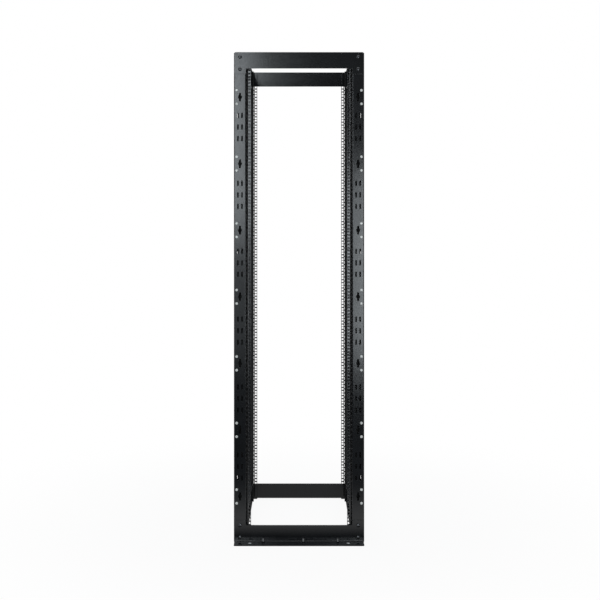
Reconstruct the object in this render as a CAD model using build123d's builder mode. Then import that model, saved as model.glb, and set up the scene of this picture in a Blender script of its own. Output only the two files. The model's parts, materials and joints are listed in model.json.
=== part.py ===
from build123d import *
from math import radians, tan
import os

# Four post open frame rack for 19 inch equipment, in millimetres.
# It stands on z = 0 with its middle at the origin. Its front looks towards -Y and its left side is at -X.
# Each piece is drawn at the front left and mirrored to its other places.

# Clear width between the posts, and the rack units between the beams
clear_opening = 450.0
rack_units = 48
unit_pitch = 44.45

# Depth over the faces of the front and rear posts
frame_depth = 762.0

# Post section, folded from one sheet: mounting flange, slanted step, face, side web, back flange
sheet = 3.0
mounting_flange = 15.0
step_width = 9.2
step_angle = 45.0
face_width = 55.6
post_depth = 63.5
back_flange = 63.5
outer_bend = 4.5
inner_bend = 1.5
step_outer_bend = 8.0
step_inner_bend = 5.0
flange_rounding = 1.4
post_top_drop = 3.0

# Square holes for cage nuts, three to a rack unit, at these heights in the unit
square_hole = 9.5
square_hole_edge_distance = 7.55
unit_hole_heights = (6.35, 22.225, 38.1)

# Windows in the slanted step
windows_per_unit = 2
window_side_margin = 1.3
window_height = 16.0

# Keyholes along the fixing line of each face, as many as fit between the end tabs
fixing_line = 28.6
keyhole_pitch = 311.15
keyhole_end_distance = 75.0
keyhole_round = 18.5
keyhole_neck = 9.0
keyhole_length = 41.0

# Slots between the keyholes, in groups of three rows and two columns at a slightly longer pitch
slot_width = 7.0
slot_length = 25.4
slot_column_pitch = 19.05
slot_row_pitch = 53.975
slot_rows = 3
slot_group_extra_pitch = 6.35

# Slots in the back flange, near both ends and above the middle
back_slot_edge_distance = 10.3
back_slot_end_distance = 291.5
back_slot_middle_rise = 198.0

# Zinc studs, a pair beside each keyhole
stud_edge_distance = 13.2
stud_offset = 31.75
stud_shank = 6.2
stud_head = 12.7
stud_head_height = 4.0
stud_head_rounding = 2.8
stud_tail = 2.5
stud_clearance = 0.25

# Top beams and base angles, with end tabs over the posts
plate = 4.8
plate_inset = 3.0
top_beam_height = 76.2
base_leg_height = 79.4
tab_height = 101.6
tab_outer_corner = 5.0
tab_inner_corner = 2.0
foot_leg = 63.5
foot_bend = 8.0
foot_corner = 6.0
anchor_hole = 15.9
anchor_end_distance = 73.2
anchor_front_distance = 28.5

# Side rails, folded channels with an end plate in each end, which butt against the back flanges
rail_width = 57.8
rail_floor_gap = 4.8

# Corner bolts through the tabs, and rail bolts through the back flanges
corner_bolt = 10.0
corner_bolt_flats = 16.0
corner_bolt_head = 6.4
corner_bolt_nut = 8.0
corner_bolt_end_distance = 22.2
rail_bolt = 8.0
rail_bolt_flats = 13.0
rail_bolt_head = 5.3
rail_bolt_nut = 6.5
rail_bolt_edge_distance = 23.0
bolt_tail = 3.0
bolt_clearance = 0.5

# Places that follow from the sizes
half_width = clear_opening / 2 + mounting_flange + step_width + face_width
opening_height = rack_units * unit_pitch
opening_middle = base_leg_height + opening_height / 2
rack_height = base_leg_height + opening_height + top_beam_height
flange_edge = -clear_opening / 2
flange_end = flange_edge - mounting_flange
face_end = flange_end - step_width
face_start = -half_width
fixing_x = face_start + fixing_line
stud_x = face_start + stud_edge_distance
post_front = -frame_depth / 2
post_back = post_front + post_depth
post_height = rack_height - post_top_drop
step_depth = step_width * tan(radians(step_angle))
step_shift = sheet * tan(radians(step_angle / 2))
flange_front = post_front + step_depth
punch_depth = step_depth + 2 * sheet
front_plane = Plane.XZ.offset(-post_front)
back_plane = Plane.XZ.offset(-post_back)
beam_width = 2 * (half_width - plate_inset)
tab_width = face_width - plate_inset
anchor_x = beam_width / 2 - anchor_end_distance
anchor_y = post_front - foot_leg + anchor_front_distance
rail_length = frame_depth - 2 * post_depth
rail_height = tab_height - rail_floor_gap
rail_bolt_x = face_start + back_flange / 2
back_slot_x = face_start + back_slot_edge_distance
rail_floors = {"bottom": rail_floor_gap, "top": rack_height - tab_height}
keyhole_room = rack_height - 2 * (tab_height + keyhole_end_distance)
keyhole_count = 1 + int(keyhole_room / keyhole_pitch)
slot_group_pitch = keyhole_pitch + slot_group_extra_pitch


def spread(count, pitch, middle):
    """Give count places, a pitch apart, that lie evenly about the middle."""
    return [middle + (place - (count - 1) / 2) * pitch for place in range(count)]


def column(x, heights):
    """Give the points at one x and each of the heights."""
    return [(x, height) for height in heights]


keyhole_heights = spread(keyhole_count, keyhole_pitch, opening_middle)
stud_heights = [height + side * stud_offset for height in keyhole_heights for side in (-1, 1)]
slot_heights = [
    height
    for group_middle in spread(keyhole_count - 1, slot_group_pitch, opening_middle)
    for height in spread(slot_rows, slot_row_pitch, group_middle)
]
square_hole_heights = [
    base_leg_height + unit * unit_pitch + height for unit in range(rack_units) for height in unit_hole_heights
]
window_heights = spread(rack_units * windows_per_unit, unit_pitch / windows_per_unit, opening_middle)
back_slot_heights = [
    back_slot_end_distance,
    opening_middle + back_slot_middle_rise,
    rack_height - back_slot_end_distance,
]
base_bolt_heights = [corner_bolt_end_distance, tab_height - corner_bolt_end_distance]
top_bolt_heights = [rack_height - height for height in base_bolt_heights]
rail_bolt_heights = {
    level: [floor + rail_bolt_edge_distance, floor + rail_height - rail_bolt_edge_distance]
    for level, floor in rail_floors.items()
}


def mirrored(source, planes):
    """Give a copy of a finished piece, mirrored across each of the planes in turn."""
    piece = source
    for plane in planes:
        piece = mirror(piece, about=plane)
    return piece


def save(piece, name):
    """Label a finished piece and write its file."""
    piece.label = name
    export_step(piece, f"parts/{name}.step")


def make_bolts(head_plane, centres, shank, flats, head, nut, grip):
    """Make hex bolts with their nuts: heads stand on head_plane and nuts lie a grip behind it."""
    with BuildPart() as bolts:
        with BuildSketch(head_plane):
            with Locations(*centres):
                RegularPolygon(flats / 2, 6, major_radius=False)
        extrude(amount=head)
        with BuildSketch(head_plane):
            with Locations(*centres):
                Circle(shank / 2)
        extrude(amount=-(grip + nut + bolt_tail))
        with BuildSketch(head_plane.offset(-grip)):
            with Locations(*centres):
                RegularPolygon(flats / 2, 6, major_radius=False)
        extrude(amount=-nut)
    return bolts.part


os.makedirs("parts", exist_ok=True)

# Front left post: the folded section, then the holes punched from the front and from the back
with BuildPart() as front_left_post:
    with BuildSketch(Plane.XY):
        with BuildLine():
            FilletPolyline(
                (flange_edge, flange_front),
                (flange_end, flange_front),
                (face_end, post_front),
                (face_start, post_front),
                (face_start, post_back),
                (face_start + back_flange, post_back),
                (face_start + back_flange, post_back - sheet),
                (face_start + sheet, post_back - sheet),
                (face_start + sheet, post_front + sheet),
                (face_end - step_shift, post_front + sheet),
                (flange_end - step_shift, flange_front + sheet),
                (flange_edge, flange_front + sheet),
                radius=[
                    flange_rounding, step_inner_bend, step_outer_bend, outer_bend, outer_bend, 0,
                    0, inner_bend, inner_bend, step_inner_bend, step_outer_bend, flange_rounding,
                ],
                close=True,
            )
        make_face()
    extrude(amount=post_height)
    with BuildSketch(front_plane):
        with Locations(*column(flange_edge - square_hole_edge_distance, square_hole_heights)):
            Rectangle(square_hole, square_hole)
        with Locations(*column(flange_end - step_width / 2, window_heights)):
            Rectangle(step_width - 2 * window_side_margin, window_height)
        with Locations(*column(fixing_x, keyhole_heights)):
            Circle(keyhole_round / 2)
            SlotOverall(keyhole_length, keyhole_neck, rotation=90)
        for slot_x in spread(2, slot_column_pitch, fixing_x):
            with Locations(*column(slot_x, slot_heights)):
                SlotOverall(slot_length, slot_width, rotation=90)
        with Locations(*column(stud_x, stud_heights)):
            Circle(stud_shank / 2 + stud_clearance)
        with Locations(*column(fixing_x, base_bolt_heights + top_bolt_heights)):
            Circle(corner_bolt / 2 + bolt_clearance)
    extrude(amount=-punch_depth, mode=Mode.SUBTRACT)
    with BuildSketch(back_plane):
        for heights in rail_bolt_heights.values():
            with Locations(*column(rail_bolt_x, heights)):
                Circle(rail_bolt / 2 + bolt_clearance)
        with Locations(*column(back_slot_x, back_slot_heights)):
            SlotOverall(slot_length, slot_width, rotation=90)
    extrude(amount=sheet, mode=Mode.SUBTRACT)

# Front left studs: round heads on the face, shanks through it
with BuildPart() as front_left_studs:
    with BuildSketch(front_plane):
        with Locations(*column(stud_x, stud_heights)):
            Circle(stud_head / 2)
    extrude(amount=stud_head_height)
    head_rims = front_left_studs.edges().filter_by(GeomType.CIRCLE).group_by(Axis.Y)[0]
    fillet(head_rims, stud_head_rounding)
    with BuildSketch(front_plane):
        with Locations(*column(stud_x, stud_heights)):
            Circle(stud_shank / 2)
    extrude(amount=-(sheet + stud_tail))

corners = {
    "front_left": (),
    "front_right": (Plane.YZ,),
    "rear_left": (Plane.XZ,),
    "rear_right": (Plane.YZ, Plane.XZ),
}
for corner, planes in corners.items():
    save(mirrored(front_left_post.part, planes), f"{corner}_post")
    save(mirrored(front_left_studs.part, planes), f"{corner}_studs")

# Front top beam: a flat plate whose end tabs reach down over the posts
with BuildPart() as front_top_beam:
    with BuildSketch(front_plane):
        with Locations((0, rack_height - tab_height / 2)):
            Rectangle(beam_width, tab_height)
        with Locations((0, rack_height - tab_height)):
            Rectangle(beam_width - 2 * tab_width, 2 * (tab_height - top_beam_height), mode=Mode.SUBTRACT)
        sides = vertices().group_by(Axis.X)
        fillet(sides[1] + sides[-2], tab_inner_corner)
        sides = vertices().group_by(Axis.X)
        fillet(sides[0] + sides[-1], tab_outer_corner)
        for side in (-1, 1):
            with Locations(*column(side * fixing_x, top_bolt_heights)):
                Circle(corner_bolt / 2 + bolt_clearance, mode=Mode.SUBTRACT)
    extrude(amount=plate)

# Front base angle: an upright leg with end tabs, bent into a foot that reaches forward along the floor
with BuildPart() as front_base_angle:
    with BuildSketch(Plane.YZ):
        with BuildLine():
            FilletPolyline(
                (post_front, 0),
                (post_front, tab_height),
                (post_front - plate, tab_height),
                (post_front - plate, plate),
                (post_front - foot_leg, plate),
                (post_front - foot_leg, 0),
                radius=[foot_bend, 0, 0, foot_bend - plate, 0, 0],
                close=True,
            )
        make_face()
    extrude(amount=beam_width / 2, both=True)
    with BuildSketch(front_plane):
        with Locations((0, tab_height)):
            Rectangle(beam_width - 2 * tab_width, 2 * (tab_height - base_leg_height))
    extrude(amount=plate, mode=Mode.SUBTRACT)
    cross_edges = front_base_angle.edges().filter_by(Axis.Y).group_by(Axis.Z)
    fillet(cross_edges[-2] + cross_edges[-1].sort_by(Axis.X)[1:3], tab_inner_corner)
    tab_tops = front_base_angle.edges().filter_by(Axis.Y).group_by(Axis.Z)[-1].group_by(Axis.X)
    fillet(tab_tops[0] + tab_tops[-1], tab_outer_corner)
    foot_ends = front_base_angle.edges().filter_by(Axis.Z).group_by(Axis.Y)[0]
    fillet(foot_ends, foot_corner)
    with BuildSketch(front_plane):
        for side in (-1, 1):
            with Locations(*column(side * fixing_x, base_bolt_heights)):
                Circle(corner_bolt / 2 + bolt_clearance)
    extrude(amount=plate, mode=Mode.SUBTRACT)
    with BuildSketch(Plane.XY):
        with Locations((-anchor_x, anchor_y), (anchor_x, anchor_y)):
            Circle(anchor_hole / 2)
    extrude(amount=plate, mode=Mode.SUBTRACT)

for name, piece in (("top_beam", front_top_beam.part), ("base_angle", front_base_angle.part)):
    save(mirrored(piece, ()), f"front_{name}")
    save(mirrored(piece, (Plane.XZ,)), f"rear_{name}")


def make_side_rail(level):
    """Make the left side rail of one level: a folded channel that is open inwards and at its ends."""
    rail_edge = face_start + rail_width
    rail_floor = rail_floors[level]
    rail_top = rail_floor + rail_height
    with BuildPart() as side_rail:
        with BuildSketch(Plane.XZ):
            with BuildLine():
                FilletPolyline(
                    (rail_edge, rail_floor),
                    (face_start, rail_floor),
                    (face_start, rail_top),
                    (rail_edge, rail_top),
                    (rail_edge, rail_top - sheet),
                    (face_start + sheet, rail_top - sheet),
                    (face_start + sheet, rail_floor + sheet),
                    (rail_edge, rail_floor + sheet),
                    radius=[0, outer_bend, outer_bend, 0, 0, inner_bend, inner_bend, 0],
                    close=True,
                )
            make_face()
        extrude(amount=rail_length / 2, both=True)
    return side_rail.part


def make_rail_end_plates(level):
    """Make the two plates that close the ends of the left side rail of one level."""
    plate_height = rail_height - 2 * sheet
    plate_width = rail_width - sheet
    with BuildPart() as end_plates:
        with BuildSketch(back_plane):
            with Locations((face_start + sheet + plate_width / 2, rail_floors[level] + rail_height / 2)):
                Rectangle(plate_width, plate_height)
            fillet(vertices().group_by(Axis.X)[0], inner_bend)
            with Locations(*column(rail_bolt_x, rail_bolt_heights[level])):
                Circle(rail_bolt / 2 + bolt_clearance, mode=Mode.SUBTRACT)
        extrude(amount=-sheet)
        mirror(about=Plane.XZ)
    return end_plates.part


def make_rail_bolts(level):
    """Make the bolts at both ends of the left side rail of one level, heads inside the posts."""
    front_bolts = make_bolts(
        Plane.XZ.offset(sheet - post_back),
        column(rail_bolt_x, rail_bolt_heights[level]),
        rail_bolt,
        rail_bolt_flats,
        rail_bolt_head,
        rail_bolt_nut,
        2 * sheet,
    )
    with BuildPart() as rail_bolts:
        add(front_bolts)
        mirror(about=Plane.XZ)
    return rail_bolts.part


for level in rail_floors:
    side_rail = make_side_rail(level)
    end_plates = make_rail_end_plates(level)
    rail_bolts = make_rail_bolts(level)
    for side, planes in (("left", ()), ("right", (Plane.YZ,))):
        save(mirrored(side_rail, planes), f"{side}_{level}_side_rail")
        save(mirrored(end_plates, planes), f"{side}_{level}_rail_end_plates")
        save(mirrored(rail_bolts, planes), f"{side}_{level}_rail_bolts")

# Corner bolts: heads on the tabs of the beams and angles, nuts behind the faces of the posts
for level, heights in (("top", top_bolt_heights), ("base", base_bolt_heights)):
    corner_bolts = make_bolts(
        front_plane.offset(plate),
        column(fixing_x, heights) + column(-fixing_x, heights),
        corner_bolt,
        corner_bolt_flats,
        corner_bolt_head,
        corner_bolt_nut,
        plate + sheet,
    )
    save(mirrored(corner_bolts, ()), f"front_{level}_bolts")
    save(mirrored(corner_bolts, (Plane.XZ,)), f"rear_{level}_bolts")
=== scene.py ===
"""Looks of a four post open frame rack: black powder coat, zinc studs and dark bolts, in studio light.

The rack's steel comes from the loaded frame. This file gives each piece its finish, replaces the plain bolts
by ones with domed heads, chamfered nuts and threaded ends, and adds the gussets that are pressed into the
bends of the feet.
"""

import json
import logging
import math
from dataclasses import dataclass
from enum import Enum
from typing import Callable

import bpy
from mathutils import Matrix, Vector


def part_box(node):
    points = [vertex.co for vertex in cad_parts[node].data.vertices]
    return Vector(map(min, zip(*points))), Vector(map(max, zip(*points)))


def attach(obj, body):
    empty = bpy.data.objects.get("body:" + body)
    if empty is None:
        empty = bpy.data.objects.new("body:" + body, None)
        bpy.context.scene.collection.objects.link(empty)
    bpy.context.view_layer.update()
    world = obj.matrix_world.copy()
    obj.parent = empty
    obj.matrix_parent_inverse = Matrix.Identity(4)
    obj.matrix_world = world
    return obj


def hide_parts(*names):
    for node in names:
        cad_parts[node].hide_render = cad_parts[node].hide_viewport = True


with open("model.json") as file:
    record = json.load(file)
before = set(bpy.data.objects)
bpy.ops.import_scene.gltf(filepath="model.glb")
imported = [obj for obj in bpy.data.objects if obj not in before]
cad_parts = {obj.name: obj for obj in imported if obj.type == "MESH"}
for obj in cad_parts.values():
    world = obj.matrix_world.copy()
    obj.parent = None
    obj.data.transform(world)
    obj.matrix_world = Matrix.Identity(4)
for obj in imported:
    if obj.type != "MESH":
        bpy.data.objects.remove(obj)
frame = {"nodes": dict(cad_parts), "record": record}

MM = 0.001
BODY = "root"
QUARTER_TURN = math.pi / 2
# Two heights that differ by less than a thousandth of a millimetre are level
LEVEL_TOLERANCE = 0.001 * MM
WHITE = (1.0, 1.0, 1.0, 1.0)
# The sheet of the folded posts and rails, and the plate of the beams and base angles, in millimetres
SHEET = 3.0
PLATE = 4.8
# Nearly all values of a noise texture lie in this span
NOISE_SPAN = (0.3, 0.7)

Tree = bpy.types.NodeTree
Socket = bpy.types.NodeSocket
Span = tuple[float, float]
Point = tuple[float, float, float]
Colour = tuple[float, float, float, float]

log = logging.getLogger("rack")


def linear(hex_colour: str) -> Colour:
    """Turn an sRGB hex colour into the linear colour that a shader takes.

    Args:
        hex_colour: six hex digits, such as "2A2C2E".

    Returns:
        Linear red, green and blue, with alpha 1.
    """
    channels = [int(hex_colour[place:place + 2], 16) / 255 for place in (0, 2, 4)]
    return tuple(c / 12.92 if c <= 0.04045 else ((c + 0.055) / 1.055) ** 2.4 for c in channels) + (1.0,)


def add_node(
    tree: Tree,
    kind: str,
    settings: dict[str, object] | None = None,
    inputs: dict[str | int, object] | None = None,
) -> bpy.types.Node:
    """Add a node, set its properties, and set or link its input sockets.

    Args:
        tree: the node tree that takes the node.
        kind: the node's Blender type name.
        settings: properties of the node, by name.
        inputs: values or output sockets, by the name or index of the input that they feed.

    Returns:
        The new node.
    """
    node = tree.nodes.new(kind)
    for name, value in (settings or {}).items():
        setattr(node, name, value)
    for name, value in (inputs or {}).items():
        if isinstance(value, Socket):
            tree.links.new(value, node.inputs[name])
        else:
            node.inputs[name].default_value = value
    return node


def number(tree: Tree, operation: str, *values: float | Socket) -> Socket:
    """Work out a number with a math node from the numbers or sockets that its operation takes."""
    return add_node(tree, "ShaderNodeMath", {"operation": operation}, dict(enumerate(values))).outputs[0]


def direction(tree: Tree, operation: str, *values: Socket) -> Socket:
    """Work out a vector with a vector math node from the sockets that its operation takes."""
    node = add_node(tree, "ShaderNodeVectorMath", {"operation": operation}, dict(enumerate(values)))
    return node.outputs[0]


def blend_colour(tree: Tree, share: Socket, first: Colour | Socket, second: Colour | Socket) -> Socket:
    """Blend two colours, where share is that of the second."""
    mix = add_node(tree, "ShaderNodeMix", {"data_type": "RGBA"}, {0: share, 6: first, 7: second})
    return mix.outputs[2]


def blend_value(tree: Tree, share: Socket, first: float | Socket, second: float | Socket) -> Socket:
    """Blend two numbers, where share is that of the second."""
    mix = add_node(tree, "ShaderNodeMix", {"data_type": "FLOAT"}, {0: share, 2: first, 3: second})
    return mix.outputs[0]


def ramp(tree: Tree, value: Socket, span: Span, levels: Span, smooth: bool = True) -> Socket:
    """Turn one span of a value into another, and hold its ends.

    Args:
        tree: the node tree that takes the node.
        value: the value.
        span: the value's own span.
        levels: what the ends of the span become.
        smooth: whether the ends ease in.

    Returns:
        The socket that gives the new value.
    """
    easing = "SMOOTHSTEP" if smooth else "LINEAR"
    return add_node(tree, "ShaderNodeMapRange", {"interpolation_type": easing}, {
        "Value": value, "From Min": span[0], "From Max": span[1], "To Min": levels[0], "To Max": levels[1],
    }).outputs["Result"]


def noise(tree: Tree, place: Socket, grain_mm: float, detail: float, roughness: float = 0.5) -> Socket:
    """Add a noise whose grains have a real size.

    Args:
        tree: the node tree that takes the node.
        place: the Object coordinates.
        grain_mm: the size of a grain in millimetres.
        detail: how many finer layers it has.
        roughness: how strong the finer layers are.

    Returns:
        The socket that gives the noise, from 0 to 1.
    """
    return add_node(tree, "ShaderNodeTexNoise", inputs={
        "Vector": place, "Scale": 1 / (grain_mm * MM), "Detail": detail, "Roughness": roughness,
    }).outputs["Fac"]


def bump(tree: Tree, height: Socket, height_mm: float, normal: Socket | None = None) -> Socket:
    """Raise a surface by a noise of a real height.

    Args:
        tree: the node tree that takes the node.
        height: the noise, from 0 to 1.
        height_mm: the height of the noise in millimetres.
        normal: the normal of the surface under it, where another node gives it.

    Returns:
        The socket that gives the new normal.
    """
    inputs = {"Height": height, "Distance": height_mm * MM, "Strength": 1.0}
    if normal is not None:
        inputs["Normal"] = normal
    return add_node(tree, "ShaderNodeBump", inputs=inputs).outputs["Normal"]


def start_material(name: str) -> tuple[bpy.types.Material, Tree, Socket]:
    """Make a material with no nodes but its coordinates.

    Args:
        name: the material's name.

    Returns:
        The material, its node tree and the Object coordinates in it.
    """
    material = bpy.data.materials.new(name)
    material.use_nodes = True
    tree = material.node_tree
    tree.nodes.clear()
    return material, tree, add_node(tree, "ShaderNodeTexCoord").outputs["Object"]


class Slot(Enum):
    """The material slots of the rack's record."""

    COAT = "black_powder_coat"
    ZINC = "zinc_plate"
    OXIDE = "black_oxide_steel"


@dataclass(frozen=True)
class Zone:
    """A block that repeats in all corners of the rack, in millimetres from its middle and from the floor."""

    x: Span | None = None
    y: Span | None = None
    z: Span | None = None

    def mark(self, tree: Tree, place: Socket) -> float | Socket:
        """Mark the coat inside the block.

        Args:
            tree: the coat's node tree.
            place: the Object coordinates.

        Returns:
            A value that is 1 inside the block and 0 outside it.
        """
        axes = add_node(tree, "ShaderNodeSeparateXYZ", inputs={"Vector": place})
        inside = 1.0
        for axis, span in (("X", self.x), ("Y", self.y), ("Z", self.z)):
            if span is None:
                continue
            low, high = span
            away = number(tree, "ABSOLUTE", axes.outputs[axis])
            within = number(tree, "COMPARE", away, (low + high) / 2 * MM, (high - low) / 2 * MM)
            inside = number(tree, "MULTIPLY", inside, within)
        return inside


@dataclass(frozen=True)
class PowderCoat:
    """Black polyester powder coat, sprayed and baked: a satin plastic skin with a faint orange peel."""

    name: str = "satin_black_powder_coat"
    colour: str = "0D0F11"
    dusted_colour: str = "13161A"
    roughness: float = 0.175
    roughness_spread: float = 0.02
    ior: float = 1.5
    cloud_mm: float = 180.0
    peel_mm: float = 7.0
    grit_mm: float = 1.2
    peel_height_mm: float = 0.05
    grit_height_mm: float = 0.012
    edge_radius_mm: float = 1.1
    edge_samples: int = 4
    mounting_flanges: Zone = Zone(x=(226.2, 240.4), z=(79.4, 2212.9))
    spring_back: float = 0.022
    burnish: float = 0.22
    # Painted shade: the coat is darker inside the hollows of the folded posts and on their free edge, where
    # shade falls
    post_hollows: Zone = Zone(x=(240.6, 302.6), y=(319.5, 370.5))
    free_edges: Zone = Zone(x=(240.6, 256.0), y=(316.5, 319.6))
    hollow_shade_colour: str = "0B0C0D"
    inner_roughness: float = 0.6
    # Painted highlight: the walls of the anchor holes take a bright colour that stands in for the glint they
    # show
    anchor_bores: Zone = Zone(x=(220.4, 236.8), y=(407.8, 424.2), z=(0.0, 4.7))
    painted_glint_colour: str = "C4C8CA"

    def build(self) -> bpy.types.Material:
        """Make the coat's material.

        Returns:
            A material that reads Object coordinates only.
        """
        material, tree, place = start_material(self.name)
        cloud = noise(tree, place, self.cloud_mm, detail=4.0, roughness=0.6)
        # Handling leaves faint dusty clouds that are a little lighter and duller than the clean coat
        film = blend_colour(tree, cloud, linear(self.colour), linear(self.dusted_colour))
        smoothest = self.roughness - self.roughness_spread
        roughest = self.roughness + self.roughness_spread
        film_roughness = ramp(tree, cloud, NOISE_SPAN, (smoothest, roughest), smooth=False)
        # Painted shade: inside the folded posts and on their free edge the coat is darkened where shade
        # falls, and made rougher and duller
        shaded_hollow = number(tree, "MAXIMUM", self.post_hollows.mark(tree, place), self.free_edges.mark(tree, place))
        coat = blend_colour(tree, shaded_hollow, film, linear(self.hollow_shade_colour))
        roughness = blend_value(tree, shaded_hollow, film_roughness, self.inner_roughness)
        # Painted highlight: the walls of the anchor holes are coloured bright, standing in for the glint of
        # light that they show
        painted_glint = self.anchor_bores.mark(tree, place)
        skin = blend_colour(tree, painted_glint, coat, linear(self.painted_glint_colour))
        # The ears of equipment that slides past burnish the mounting flanges to a harder shine
        flange = self.mounting_flanges.mark(tree, place)
        ior = number(tree, "MULTIPLY_ADD", flange, self.burnish, self.ior)
        normal = self.spring(tree, place, flange, self.relief(tree, place))
        shader = add_node(tree, "ShaderNodeBsdfPrincipled", inputs={
            "Base Color": skin, "Roughness": roughness, "IOR": ior, "Normal": normal,
        })
        add_node(tree, "ShaderNodeOutputMaterial", inputs={"Surface": shader.outputs["BSDF"]})
        return material

    def relief(self, tree: Tree, place: Socket) -> Socket:
        """Round the edges of the film, and give it its orange peel and its grit.

        Args:
            tree: the coat's node tree.
            place: the Object coordinates.

        Returns:
            The normal of the coat's surface.
        """
        # The film draws back from sharp edges and rounds them, so that they catch the light
        edge = add_node(tree, "ShaderNodeBevel", {"samples": self.edge_samples}, {
            "Radius": self.edge_radius_mm * MM,
        })
        peel = noise(tree, place, self.peel_mm, detail=1.0)
        peeled = bump(tree, peel, self.peel_height_mm, edge.outputs["Normal"])
        # The grit of real powder is finer, and is drawn coarser to show
        grit = noise(tree, place, self.grit_mm, detail=2.0)
        return bump(tree, grit, self.grit_height_mm, peeled)

    def spring(self, tree: Tree, place: Socket, flange: Socket, normal: Socket) -> Socket:
        """Turn the shading of the mounting flanges outwards by the degree that a folded flange springs back.

        Args:
            tree: the coat's node tree.
            place: the Object coordinates.
            flange: 1 on the flanges and 0 elsewhere.
            normal: the normal of the coat's surface.

        Returns:
            The normal with the flanges' spring in it.
        """
        axes = add_node(tree, "ShaderNodeSeparateXYZ", inputs={"Vector": place})
        side = number(tree, "SIGN", axes.outputs["X"])
        turn = number(tree, "MULTIPLY", side, self.spring_back)
        lean = number(tree, "MULTIPLY", turn, flange)
        offset = add_node(tree, "ShaderNodeCombineXYZ", inputs={"X": lean})
        return direction(tree, "NORMALIZE", direction(tree, "ADD", normal, offset.outputs[0]))


@dataclass(frozen=True)
class PlatedSteel:
    """Plated or blackened steel, a metal skin with a faint cloud of colour and fine rolling grain."""

    name: str
    colour: str
    cloud_colour: str
    roughness: float
    metallic: float
    roughness_share: float = 0.15
    cloud_mm: float = 4.0
    grain_mm: float = 0.35
    grain_height_mm: float = 0.006

    def build(self) -> bpy.types.Material:
        """Make the metal's material.

        Returns:
            A material that reads Object coordinates only.
        """
        material, tree, place = start_material(self.name)
        cloud = noise(tree, place, self.cloud_mm, detail=3.0)
        smoothest = self.roughness * (1 - self.roughness_share)
        roughest = self.roughness * (1 + self.roughness_share)
        shader = add_node(tree, "ShaderNodeBsdfPrincipled", inputs={
            "Base Color": blend_colour(tree, cloud, linear(self.colour), linear(self.cloud_colour)),
            "Roughness": ramp(tree, cloud, NOISE_SPAN, (smoothest, roughest), smooth=False),
            "Metallic": self.metallic,
            "Normal": bump(tree, noise(tree, place, self.grain_mm, detail=2.0), self.grain_height_mm),
        })
        add_node(tree, "ShaderNodeOutputMaterial", inputs={"Surface": shader.outputs["BSDF"]})
        return material


# Bright zinc plate is a cool light grey that reflects its surroundings softly
ZINC = PlatedSteel(
    "bright_zinc_plated_steel", colour="DCE0DE", cloud_colour="CDD1CF", roughness=0.34, metallic=0.3,
)
# Black oxide leaves the steel's sheen under a thin dark film
OXIDE = PlatedSteel(
    "black_oxide_steel", colour="66686B", cloud_colour="595B5E", roughness=0.26, metallic=1.0,
)


class Finishes:
    """The three materials of the rack, each made once."""

    def __init__(self) -> None:
        """Build the materials and keep them by slot."""
        self.materials = {
            Slot.COAT: PowderCoat().build(),
            Slot.ZINC: ZINC.build(),
            Slot.OXIDE: OXIDE.build(),
        }

    def dress(self, piece: bpy.types.Object, slot: Slot) -> None:
        """Give a piece one finish all over.

        Args:
            piece: the mesh object.
            slot: the record's slot that the finish stands for.
        """
        piece.data.materials.clear()
        piece.data.materials.append(self.materials[slot])

    def dress_frame(self, nodes: dict[str, bpy.types.Object], record: dict) -> None:
        """Give every node of the frame the finish of its slot.

        Args:
            nodes: the frame's objects by node name.
            record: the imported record, whose subparts name the slots.
        """
        for part in record["subparts"]:
            self.dress(nodes[part["node"]], Slot(part["material_slot"]))
            log.info("dressed %s as %s", part["node"], part["material_slot"])


def start_mesh(add_primitive: Callable[..., object], **settings: object) -> bpy.types.Object:
    """Deselect everything and add one primitive.

    Args:
        add_primitive: the operator that adds it.
        settings: the operator's own settings.

    Returns:
        The new object, active and selected.
    """
    bpy.ops.object.select_all(action="DESELECT")
    add_primitive(**settings)
    return bpy.context.active_object


def apply_modifier(piece: bpy.types.Object, kind: str, **settings: object) -> None:
    """Add one modifier to a piece and apply it.

    Args:
        piece: the mesh object.
        kind: the modifier's Blender type name.
        settings: the modifier's properties.
    """
    modifier = piece.modifiers.new(kind.lower(), kind)
    for name, value in settings.items():
        setattr(modifier, name, value)
    bpy.ops.object.select_all(action="DESELECT")
    piece.select_set(True)
    bpy.context.view_layer.objects.active = piece
    bpy.ops.object.modifier_apply(modifier=modifier.name)


def join(pieces: list[bpy.types.Object], name: str) -> bpy.types.Object:
    """Join meshes into one named object at the origin.

    Args:
        pieces: the mesh objects, which are used up.
        name: the joined object's name.

    Returns:
        The joined object, with its place in its mesh.
    """
    bpy.ops.object.select_all(action="DESELECT")
    for piece in pieces:
        piece.select_set(True)
    bpy.context.view_layer.objects.active = pieces[0]
    bpy.ops.object.join()
    joined = bpy.context.active_object
    bpy.ops.object.transform_apply(location=True, rotation=True, scale=True)
    joined.name = name
    joined.data.name = name
    return joined


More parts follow.
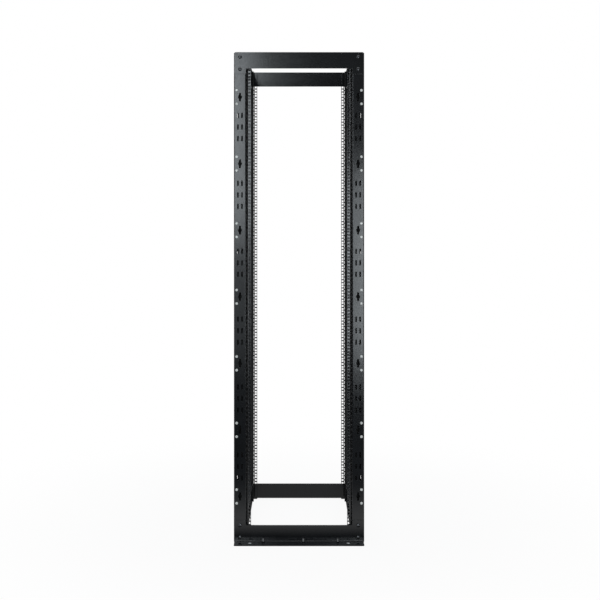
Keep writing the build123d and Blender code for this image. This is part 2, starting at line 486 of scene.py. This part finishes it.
@dataclass(frozen=True)
class HexBolt:
    """One hex bolt with its nut, drawn along +Z with the seat of its head on z = 0, in millimetres."""

    shank: float
    flats: float
    head: float
    nut: float
    grip: float
    pitch: float
    tail: float = 3.0
    thread_depth: float = 0.7
    washer_face: float = 0.5
    # Shares of the width across the flats: the washer face, the radius of the dome and the nut's chamfer
    washer_share: float = 0.95
    crown_share: float = 1.1
    chamfer_share: float = 0.08
    # The turned drum is a little wider than the nut's corners, and the hexagon bar a little longer than both
    turning_share: float = 1.01
    bar_excess: float = 1.0
    sides: int = 32
    smooth_degrees: float = 35.0

    @property
    def corners(self) -> float:
        """Width across the corners of the hexagon."""
        return self.flats / math.cos(math.radians(30))

    def cylinder(self, radius: float, low: float, high: float, sides: int) -> bpy.types.Object:
        """Add a cylinder or prism between two heights.

        Args:
            radius: its radius, to the corners.
            low: its lower height.
            high: its upper height.
            sides: how many sides it has.

        Returns:
            The new object.
        """
        return start_mesh(
            bpy.ops.mesh.primitive_cylinder_add, vertices=sides, radius=radius * MM,
            depth=(high - low) * MM, location=(0, 0, (low + high) / 2 * MM), rotation=(0, 0, QUARTER_TURN),
        )

    def hexagon_bar(self, low: float, high: float) -> bpy.types.Object:
        """Add a length of hexagon bar between two heights."""
        return self.cylinder(self.corners / 2, low, high, 6)

    def turn_off(self, bar: bpy.types.Object, envelope: bpy.types.Object) -> bpy.types.Object:
        """Keep only what lies inside a turned form, as a lathe does with hexagon bar.

        Args:
            bar: the hexagon bar, which is cut.
            envelope: the turned form, which is used up.

        Returns:
            The bar as it is turned.
        """
        apply_modifier(bar, "BOOLEAN", operation="INTERSECT", object=envelope, solver="EXACT")
        bpy.data.objects.remove(envelope, do_unlink=True)
        return bar

    def domed_head(self) -> bpy.types.Object:
        """Model the head as a hexagon under a low dome.

        Returns:
            The head, above its washer face.
        """
        radius = self.crown_share * self.flats
        bar = self.hexagon_bar(self.washer_face, self.head + self.bar_excess)
        ball = start_mesh(
            bpy.ops.mesh.primitive_uv_sphere_add, segments=self.sides, ring_count=2 * self.sides,
            radius=radius * MM, location=(0, 0, (self.head - radius) * MM),
        )
        return self.turn_off(bar, ball)

    def chamfered_nut(self, low: float, high: float) -> bpy.types.Object:
        """Model the nut as a hexagon whose corners are turned off at both ends.

        Args:
            low: its lower height.
            high: its upper height.

        Returns:
            The nut.
        """
        bar = self.hexagon_bar(low - self.bar_excess, high + self.bar_excess)
        drum = self.cylinder(self.corners / 2 * self.turning_share, low, high, 2 * self.sides)
        bpy.ops.object.mode_set(mode="EDIT")
        bpy.ops.mesh.select_mode(type="EDGE")
        bpy.ops.mesh.select_all(action="DESELECT")
        bpy.ops.object.mode_set(mode="OBJECT")
        for edge in drum.data.edges:
            start, end = (drum.data.vertices[corner].co.z for corner in edge.vertices)
            edge.select = math.isclose(start, end, abs_tol=LEVEL_TOLERANCE)
        bpy.ops.object.mode_set(mode="EDIT")
        bpy.ops.mesh.bevel(offset=self.chamfer_share * self.flats * MM, offset_type="OFFSET", segments=1)
        bpy.ops.object.mode_set(mode="OBJECT")
        return self.turn_off(bar, drum)

    def thread(self, low: float, high: float) -> bpy.types.Object:
        """Model the threaded end as rings of crests and roots, closed by a chamfered face.

        Args:
            low: the height of its free end.
            high: the height where it enters the nut.

        Returns:
            The threaded end.
        """
        crest = self.shank / 2
        root = crest - self.thread_depth
        turns = int((high - low) / self.pitch)
        end = start_mesh(
            bpy.ops.mesh.primitive_circle_add, vertices=self.sides, radius=crest * MM,
            location=(0, 0, high * MM), fill_type="NGON",
        )
        bpy.ops.object.mode_set(mode="EDIT")
        bpy.ops.mesh.select_all(action="SELECT")
        for half_turn in range(2 * turns):
            scale = root / crest if half_turn % 2 == 0 else crest / root
            bpy.ops.mesh.extrude_region_move(TRANSFORM_OT_translate={"value": (0, 0, -self.pitch / 2 * MM)})
            bpy.ops.transform.resize(value=(scale, scale, 1))
        remainder = high - low - turns * self.pitch
        bpy.ops.mesh.extrude_region_move(TRANSFORM_OT_translate={"value": (0, 0, -remainder * MM)})
        bpy.ops.transform.resize(value=(root / crest, root / crest, 1))
        bpy.ops.mesh.select_all(action="SELECT")
        bpy.ops.mesh.normals_make_consistent(inside=False)
        bpy.ops.object.mode_set(mode="OBJECT")
        return end

    def build(self, name: str) -> bpy.types.Object:
        """Model the bolt and its nut.

        Args:
            name: the object's name.

        Returns:
            The bolt, as one mesh of touching closed shells.
        """
        nut_low = -self.grip - self.nut
        washer = self.cylinder(self.flats / 2 * self.washer_share, 0, self.washer_face, self.sides)
        shank = self.cylinder(self.shank / 2, nut_low, 0, self.sides)
        head = self.domed_head()
        nut = self.chamfered_nut(nut_low, -self.grip)
        end = self.thread(nut_low - self.tail, nut_low)
        bolt = join([head, washer, shank, nut, end], name)
        bpy.ops.object.shade_smooth_by_angle(angle=math.radians(self.smooth_degrees))
        return bolt


@dataclass
class BoltGroup:
    """The bolts of one node: one bolt copied to each of its places, with the head away from the joint."""

    node: str
    bolt: HexBolt
    at_both_ends: bool

    def places(self) -> list[tuple[Vector, float]]:
        """Work out the bolts' places from the node's box.

        Returns:
            The seat of each head, and the sign of Y that the head looks to.
        """
        low, high = (Vector(corner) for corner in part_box(self.node))
        across = self.bolt.corners / 2 * MM
        flat = self.bolt.flats / 2 * MM
        head = self.bolt.head * MM
        heights = (low.z + flat, high.z - flat)
        if self.at_both_ends:
            middle = (low.x + high.x) / 2
            return [
                (Vector((middle, edge - side * head, height)), side)
                for side, edge in ((-1, low.y), (1, high.y)) for height in heights
            ]
        side, edge = (-1, low.y) if high.y < 0 else (1, high.y)
        return [
            (Vector((x, edge - side * head, height)), side)
            for x in (low.x + across, high.x - across) for height in heights
        ]

    def build(self, finishes: Finishes) -> bpy.types.Object:
        """Model the group's bolts and let them stand for the node.

        Args:
            finishes: the rack's materials.

        Returns:
            The group's mesh.
        """
        master = self.bolt.build("bolt")
        copies = []
        for seat, side in self.places():
            copy = bpy.data.objects.new("bolt", master.data.copy())
            bpy.context.scene.collection.objects.link(copy)
            copy.data.transform(Matrix.Translation(seat) @ Matrix.Rotation(-side * QUARTER_TURN, 4, "X"))
            copies.append(copy)
        bpy.data.objects.remove(master, do_unlink=True)
        piece = join(copies, "threaded_" + self.node)
        finishes.dress(piece, Slot.OXIDE)
        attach(piece, BODY)
        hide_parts(self.node)
        return piece


@dataclass
class FootGussets:
    """Darts pressed into the bend of one base angle, which stiffen its foot, in millimetres."""

    node: str
    across: tuple[float, ...] = (-168.0, 20.0, 181.0)
    width: float = 13.0
    reach: float = 19.0
    rise: float = 19.0
    # The ribs sink into both legs of the angle, so that they grow out of its bend
    sink: float = 0.6
    toe: float = 5.8
    rounding: float = 3.2
    rounding_segments: int = 4
    smooth_degrees: float = 50.0

    def build(self, finishes: Finishes) -> bpy.types.Object:
        """Model the darts of one angle as rounded ribs in its inner corner.

        Args:
            finishes: the rack's materials.

        Returns:
            The darts, as one mesh.
        """
        low, high = (Vector(corner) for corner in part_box(self.node))
        side, face = (-1, high.y) if high.y < 0 else (1, low.y)
        corner_y = face + side * (PLATE - self.sink) * MM
        corner_z = (PLATE - self.sink) * MM
        ribs = [self.rib(across, side, corner_y, corner_z) for across in self.across]
        piece = join(ribs, self.node + "_gussets")
        finishes.dress(piece, Slot.COAT)
        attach(piece, BODY)
        return piece

    def rib(self, across: float, side: int, corner_y: float, corner_z: float) -> bpy.types.Object:
        """Model one dart as a box that slopes down to its toe and is rounded all over.

        Args:
            across: its place along the angle, in millimetres.
            side: the sign of Y that the foot points to.
            corner_y: the inner corner's place along Y, in metres.
            corner_z: the inner corner's height, in metres.

        Returns:
            The dart.
        """
        centre = (across * MM, corner_y + side * self.reach / 2 * MM, corner_z + self.rise / 2 * MM)
        rib = start_mesh(bpy.ops.mesh.primitive_cube_add, size=MM, location=centre)
        rib.scale = (self.width, self.reach, self.rise)
        bpy.ops.object.transform_apply(location=True, rotation=True, scale=True)
        for vertex in rib.data.vertices:
            if vertex.co.z > centre[2] and side * (vertex.co.y - centre[1]) > 0:
                vertex.co.z = corner_z + self.toe * MM
        apply_modifier(
            rib, "BEVEL", width=self.rounding * MM, segments=self.rounding_segments, limit_method="NONE",
        )
        bpy.ops.object.shade_smooth_by_angle(angle=math.radians(self.smooth_degrees))
        return rib


@dataclass(frozen=True)
class Hardware:
    """All the small steel that the scene adds to the rack."""

    corner_bolt: HexBolt = HexBolt(shank=10.0, flats=16.0, head=6.4, nut=8.0, grip=PLATE + SHEET, pitch=1.5)
    rail_bolt: HexBolt = HexBolt(shank=8.0, flats=13.0, head=5.3, nut=6.5, grip=2 * SHEET, pitch=1.25)

    def build(self, finishes: Finishes) -> None:
        """Model the bolts of every joint and the gussets of both feet.

        Args:
            finishes: the rack's materials.
        """
        groups = [
            BoltGroup(f"{end}_{level}_bolts", self.corner_bolt, at_both_ends=False)
            for end in ("front", "rear") for level in ("top", "base")
        ]
        groups += [
            BoltGroup(f"{side}_{level}_rail_bolts", self.rail_bolt, at_both_ends=True)
            for side in ("left", "right") for level in ("top", "bottom")
        ]
        groups += [FootGussets("front_base_angle"), FootGussets("rear_base_angle")]
        for group in groups:
            piece = group.build(finishes)
            log.info("added %s with %d faces", piece.name, len(piece.data.polygons))


@dataclass(frozen=True)
class Softbox:
    """A rectangular studio lamp that looks at a point, set by the brightness of its cloth, in metres."""

    name: str
    place: Point
    target: Point
    width: float
    height: float
    brightness: float
    colour: str = "F2FAFF"

    def build(self) -> None:
        """Add the lamp, unseen by the camera."""
        data = bpy.data.lights.new(self.name, "AREA")
        data.shape = "RECTANGLE"
        data.size = self.width
        data.size_y = self.height
        data.energy = self.brightness * math.pi * self.width * self.height
        data.color = linear(self.colour)[:3]
        lamp = bpy.data.objects.new(self.name, data)
        bpy.context.scene.collection.objects.link(lamp)
        lamp.location = self.place
        lamp.rotation_euler = (Vector(self.target) - Vector(self.place)).to_track_quat("-Z", "Y").to_euler()
        lamp.visible_camera = False
        log.info("lamp %s", self.name)


@dataclass(frozen=True)
class PaperFloor:
    """A sheet of pale paper on the floor: white far off, with the rack's soft shadow near it, in metres."""

    size: float = 12.0
    colour: str = "E6E7E8"
    # The paper glows by this share near the rack, and wholly beyond it, so that its shadow fades out
    shadow_fades: Span = (0.5, 2.2)
    near_share: float = 0.92
    # In the steel's mirror image the paper is light before the toe, dark under it and far in front, and
    # half light inside the rack
    toe_fades: Span = (-0.74, -0.44)
    toe_glow: float = 0.85
    front_fades: Span = (-1.5, -0.7)
    front_glow: float = 0.06
    inside_fades: Span = (-0.45, -0.25)
    inside_glow: float = 0.45

    def build(self) -> None:
        """Lay the paper."""
        floor = start_mesh(bpy.ops.mesh.primitive_plane_add, size=self.size, location=(0, 0, 0))
        floor.name = "floor"
        floor.data.materials.append(self.material())

    def material(self) -> bpy.types.Material:
        """Make the paper's material.

        Returns:
            A diffuse paper that also glows to the camera and in mirror images.
        """
        material, tree, place = start_material("pale_paper_floor")
        path = add_node(tree, "ShaderNodeLightPath")
        distance = add_node(tree, "ShaderNodeVectorMath", {"operation": "LENGTH"}, {0: place})
        seen_glow = ramp(tree, distance.outputs["Value"], self.shadow_fades, (self.near_share, 1.0))
        seen_share = number(tree, "MULTIPLY", path.outputs["Is Camera Ray"], seen_glow)
        share = number(tree, "MAXIMUM", seen_share, path.outputs["Is Glossy Ray"])
        strength = blend_value(tree, path.outputs["Is Glossy Ray"], 1.0, self.mirrored(tree, place))
        paper = add_node(tree, "ShaderNodeBsdfDiffuse", inputs={"Color": linear(self.colour)})
        glow = add_node(tree, "ShaderNodeEmission", inputs={"Color": WHITE, "Strength": strength})
        lit = add_node(tree, "ShaderNodeMixShader", inputs={
            0: share, 1: paper.outputs["BSDF"], 2: glow.outputs["Emission"],
        })
        add_node(tree, "ShaderNodeOutputMaterial", inputs={"Surface": lit.outputs[0]})
        return material

    def mirrored(self, tree: Tree, place: Socket) -> Socket:
        """Work out how bright the paper is in the steel's mirror image.

        Args:
            tree: the paper's node tree.
            place: the Object coordinates.

        Returns:
            The brightness, from its place along Y.
        """
        along = add_node(tree, "ShaderNodeSeparateXYZ", inputs={"Vector": place}).outputs["Y"]
        toe = ramp(tree, along, self.toe_fades, (self.toe_glow, 0.0))
        front = ramp(tree, along, self.front_fades, (self.front_glow, 1.0))
        inside = ramp(tree, along, self.inside_fades, (0.0, self.inside_glow))
        return number(tree, "MULTIPLY_ADD", toe, front, inside)


@dataclass(frozen=True)
class Surroundings:
    """A studio that shows white to the camera, and white behind the rack to glossy steel."""

    ambient: float = 0.55
    dark_studio: float = 0.1
    backdrop: float = 1.0
    backdrop_fades: Span = (-0.05, 0.45)
    ceiling: float = 1.0
    ceiling_fades: Span = (0.4, 0.85)
    side_walls: float = 0.5
    side_fades: Span = (0.55, 0.95)

    def build(self) -> None:
        """Make the world."""
        world = bpy.data.worlds.new("studio")
        world.use_nodes = True
        bpy.context.scene.world = world
        tree = world.node_tree
        tree.nodes.clear()
        path = add_node(tree, "ShaderNodeLightPath")
        heading = add_node(tree, "ShaderNodeTexCoord").outputs["Generated"]
        axes = add_node(tree, "ShaderNodeSeparateXYZ", inputs={"Vector": heading})
        across = number(tree, "ABSOLUTE", axes.outputs["X"])
        brightest = self.dark_studio
        for value, fades, brightness in (
            (axes.outputs["Y"], self.backdrop_fades, self.backdrop),
            (axes.outputs["Z"], self.ceiling_fades, self.ceiling),
            (across, self.side_fades, self.side_walls),
        ):
            brightest = number(tree, "MAXIMUM", brightest, ramp(tree, value, fades, (0.0, brightness)))
        unseen = blend_value(tree, path.outputs["Is Glossy Ray"], self.ambient, brightest)
        strength = blend_value(tree, path.outputs["Is Camera Ray"], unseen, 1.0)
        background = add_node(tree, "ShaderNodeBackground", inputs={"Color": WHITE, "Strength": strength})
        add_node(tree, "ShaderNodeOutputWorld", inputs={"Surface": background.outputs["Background"]})


@dataclass(frozen=True)
class Studio:
    """The camera, the lamps, the pale floor and the white surroundings."""

    lens: float = 65.46
    sensor_width: float = 36.0
    shift_y: float = -0.1547
    camera_place: Point = (0.0044, -5.4818, 1.565)
    softboxes: tuple[Softbox, ...] = (
        # The strips near the camera light the front, high up on the left and lower on the right
        Softbox(
            "left_strip", place=(-0.70, -5.35, 2.23), target=(-0.28, -0.38, 1.95),
            width=0.48, height=1.88, brightness=8.2,
        ),
        Softbox(
            "left_tail", place=(-0.70, -5.35, 0.72), target=(-0.28, -0.38, 1.10),
            width=0.48, height=1.1, brightness=1.1,
        ),
        Softbox(
            "right_strip", place=(0.70, -5.35, 1.00), target=(0.28, -0.38, 1.30),
            width=0.48, height=1.76, brightness=7.2,
        ),
        Softbox(
            "overhead", place=(-0.2, 0.6, 4.4), target=(0.0, 0.0, 1.0),
            width=2.6, height=2.6, brightness=2.4,
        ),
    )

    def build(self) -> None:
        """Make the stage."""
        bpy.context.scene.view_settings.view_transform = "Standard"
        self.add_camera(bpy.context.scene)
        Surroundings().build()
        PaperFloor().build()
        for softbox in self.softboxes:
            softbox.build()

    def add_camera(self, scene: bpy.types.Scene) -> None:
        """Add the camera, level and slightly right of the middle.

        Args:
            scene: the scene that looks through it.
        """
        data = bpy.data.cameras.new("camera")
        data.lens = self.lens
        data.sensor_width = self.sensor_width
        data.shift_y = self.shift_y
        camera = bpy.data.objects.new("camera", data)
        scene.collection.objects.link(camera)
        camera.location = self.camera_place
        camera.rotation_euler = (QUARTER_TURN, 0, 0)
        scene.camera = camera


def main() -> None:
    """Dress the rack, add its hardware and set the stage."""
    logging.basicConfig(level=logging.INFO, format="%(name)s: %(message)s")
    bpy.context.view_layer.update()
    finishes = Finishes()
    finishes.dress_frame(frame["nodes"], frame["record"])
    Hardware().build(finishes)
    Studio().build()


if __name__ == "__main__":
    main()
